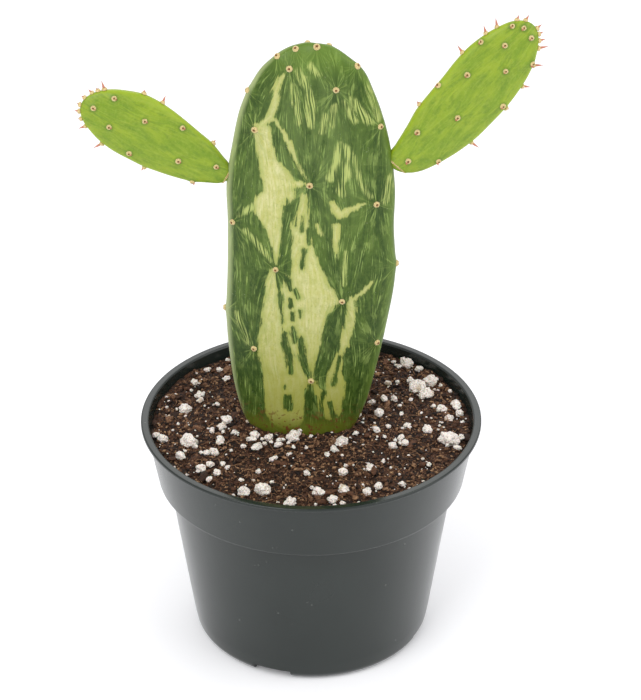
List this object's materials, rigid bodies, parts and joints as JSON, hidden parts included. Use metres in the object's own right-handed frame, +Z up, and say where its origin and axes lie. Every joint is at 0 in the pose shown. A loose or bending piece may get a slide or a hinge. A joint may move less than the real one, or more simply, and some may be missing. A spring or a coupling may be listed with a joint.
{
  "type": "potted paddle cactus",
  "caption": "Paddle cactus with a broad variegated old pad and small lime-green young pads on its edges, rooted in perlite potting mix in a round tapered plastic nursery pot.",
  "frame": {"origin": "middle of the pot's foot, on the surface that the pot stands on", "axes": "+Z up, -Y towards the front of the plant, +X towards the larger young paddle"},
  "size_m": [0.1979, 0.1524, 0.2979],
  "materials": {
    "pot_plastic": "satin",
    "potting_mix": "matte",
    "perlite": "matte",
    "old_skin": "satin",
    "young_skin": "satin",
    "areole_felt": "matte",
    "leaf_red": "satin"
  },
  "bodies": {
    "root": {"left_areole_01": "areole_felt", "left_areole_02": "areole_felt", "left_areole_03": "areole_felt", "left_areole_04": "areole_felt", "left_areole_05": "areole_felt", "left_leaf_01": "leaf_red", "left_leaf_02": "leaf_red", "left_leaf_03": "leaf_red", "left_leaf_04": "leaf_red", "left_leaf_05": "leaf_red", "left_leaf_06": "leaf_red", "left_leaf_07": "leaf_red", "left_leaf_08": "leaf_red", "left_leaf_09": "leaf_red", "left_young_paddle": "young_skin", "nursery_pot": "pot_plastic", "parent_areole_01": "areole_felt", "parent_areole_02": "areole_felt", "parent_areole_03": "areole_felt", "parent_areole_04": "areole_felt", "parent_areole_05": "areole_felt", "parent_areole_06": "areole_felt", "parent_areole_07": "areole_felt", "parent_areole_08": "areole_felt", "parent_areole_09": "areole_felt", "parent_areole_10": "areole_felt", "parent_areole_11": "areole_felt", "parent_areole_12": "areole_felt", "parent_areole_13": "areole_felt", "parent_areole_14": "areole_felt", "parent_paddle": "old_skin", "perlite_grain_01": "perlite", "perlite_grain_02": "perlite", "perlite_grain_03": "perlite", "perlite_grain_04": "perlite", "perlite_grain_05": "perlite", "perlite_grain_06": "perlite", "perlite_grain_07": "perlite", "perlite_grain_08": "perlite", "potting_mix": "potting_mix", "right_areole_01": "areole_felt", "right_areole_02": "areole_felt", "right_areole_03": "areole_felt", "right_areole_04": "areole_felt", "right_areole_05": "areole_felt", "right_areole_06": "areole_felt", "right_leaf_01": "leaf_red", "right_leaf_02": "leaf_red", "right_leaf_03": "leaf_red", "right_leaf_04": "leaf_red", "right_leaf_05": "leaf_red", "right_leaf_06": "leaf_red", "right_leaf_07": "leaf_red", "right_leaf_08": "leaf_red", "right_leaf_09": "leaf_red", "right_leaf_10": "leaf_red", "right_leaf_11": "leaf_red", "right_young_paddle": "young_skin"}
  },
  "joints": []
}
